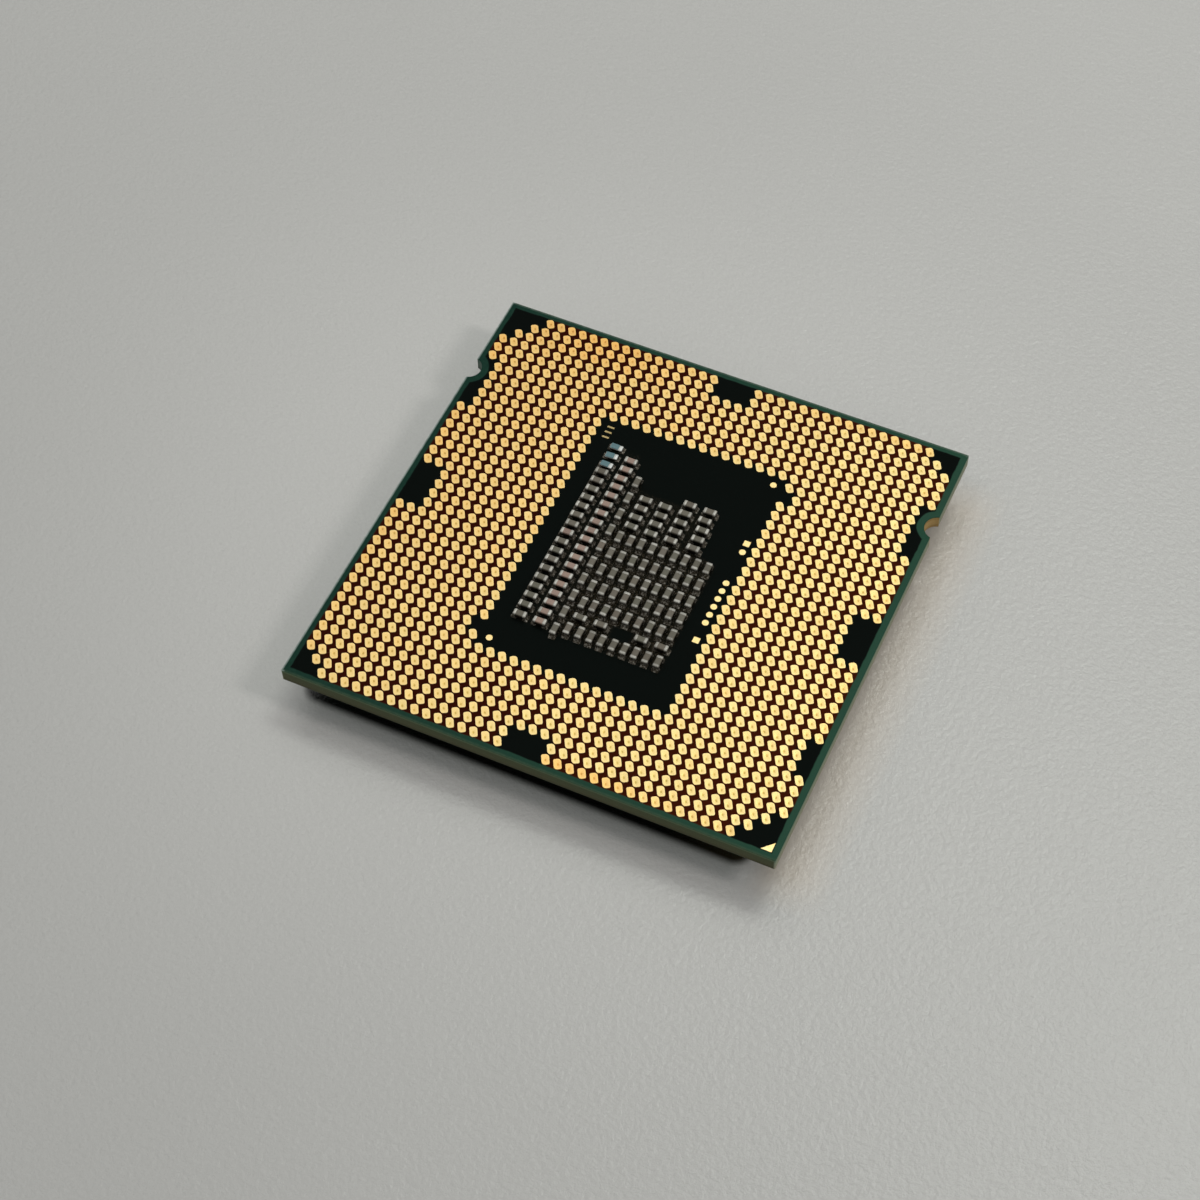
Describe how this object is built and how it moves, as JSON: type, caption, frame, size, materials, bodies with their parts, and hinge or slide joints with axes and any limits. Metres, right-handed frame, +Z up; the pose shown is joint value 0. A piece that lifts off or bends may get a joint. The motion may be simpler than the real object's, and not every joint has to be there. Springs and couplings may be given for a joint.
{
  "type": "processor chip",
  "caption": "Square land-grid processor package with gold contact lands, chip components in a central window, two key notches and a stepped metal lid.",
  "frame": {"origin": "centre of the lid's flat outer face, on which the package lies", "axes": "+Z up, from the lid to the contact lands; +Y along the board's edge towards the two key notches; +X to the right with the lands facing the viewer and the notches at the top"},
  "size_m": [0.0376, 0.0376, 0.0049],
  "materials": {
    "laminate": "dark solder mask over glass-fibre laminate, green at the rim",
    "gold": "satin gold plate with faint contact marks",
    "nickel_plate": "satin nickel plate over copper",
    "seal": "matt silicone",
    "silicon": "polished silicon",
    "resin": "cured resin",
    "solder": "dull solder",
    "tin": "matt tin plate",
    "grey_ceramic": "fired ceramic",
    "tan_ceramic": "fired ceramic",
    "white_ceramic": "alumina",
    "blue_coat": "glassy overcoat"
  },
  "bodies": {
    "root": {"substrate": "laminate", "contact_lands": "gold", "test_points": "gold", "first_land_mark": "gold", "index_bars": "gold", "lid_side_mark": "gold", "heat_spreader": "nickel_plate", "lid_seal": "seal", "thermal_joint": "solder", "silicon_die": "silicon", "die_bumps": "solder", "underfill": "resin", "resistor_bodies": "white_ceramic", "resistor_coats": "blue_coat", "resistor_ends": "tin", "resistor_solder": "solder", "left_column_bodies": "grey_ceramic", "left_column_ends": "tin", "left_column_solder": "solder", "tan_column_bodies": "tan_ceramic", "tan_column_ends": "tin", "tan_column_solder": "solder", "spine_column_bodies": "grey_ceramic", "spine_column_ends": "tin", "spine_column_solder": "solder", "upper_block_bodies": "grey_ceramic", "upper_block_ends": "tin", "upper_block_solder": "solder", "core_block_bodies": "grey_ceramic", "core_block_ends": "tin", "core_block_solder": "solder", "cross_row_bodies": "grey_ceramic", "cross_row_ends": "tin", "cross_row_solder": "solder"}
  },
  "joints": []
}
